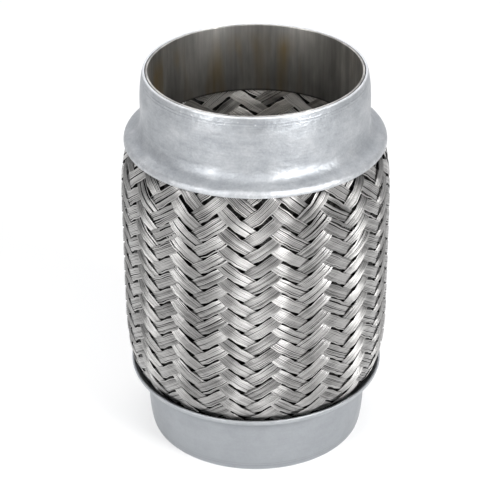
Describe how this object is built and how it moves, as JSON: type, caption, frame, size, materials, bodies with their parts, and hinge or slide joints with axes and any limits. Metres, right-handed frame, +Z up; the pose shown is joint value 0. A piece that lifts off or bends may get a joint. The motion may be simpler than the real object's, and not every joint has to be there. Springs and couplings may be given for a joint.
{
  "type": "exhaust flex pipe",
  "caption": "Short exhaust flex pipe: a bellows between woven wire sleeves, held at each end by a flared sheet cap and an inner ring.",
  "frame": {"origin": "centre of the bottom rim's plane, on the pipe's axis", "axes": "+Z up along the pipe's axis, towards the end that shows its mouth"},
  "size_m": [0.098, 0.098, 0.145],
  "materials": {
    "cap_steel": "satin galvanised sheet",
    "ring_steel": "smooth rolled stainless strip",
    "bellows_steel": "bright formed thin sheet",
    "outer_braid_wire": "bundles of bright drawn stainless wire",
    "inner_braid_wire": "bundles of drawn stainless wire"
  },
  "bodies": {
    "root": {"top_cap": "cap_steel", "bottom_cap": "cap_steel", "top_inner_ring": "ring_steel", "bottom_inner_ring": "ring_steel", "bellows": "bellows_steel", "outer_braid": "outer_braid_wire", "inner_braid": "inner_braid_wire"}
  },
  "joints": []
}
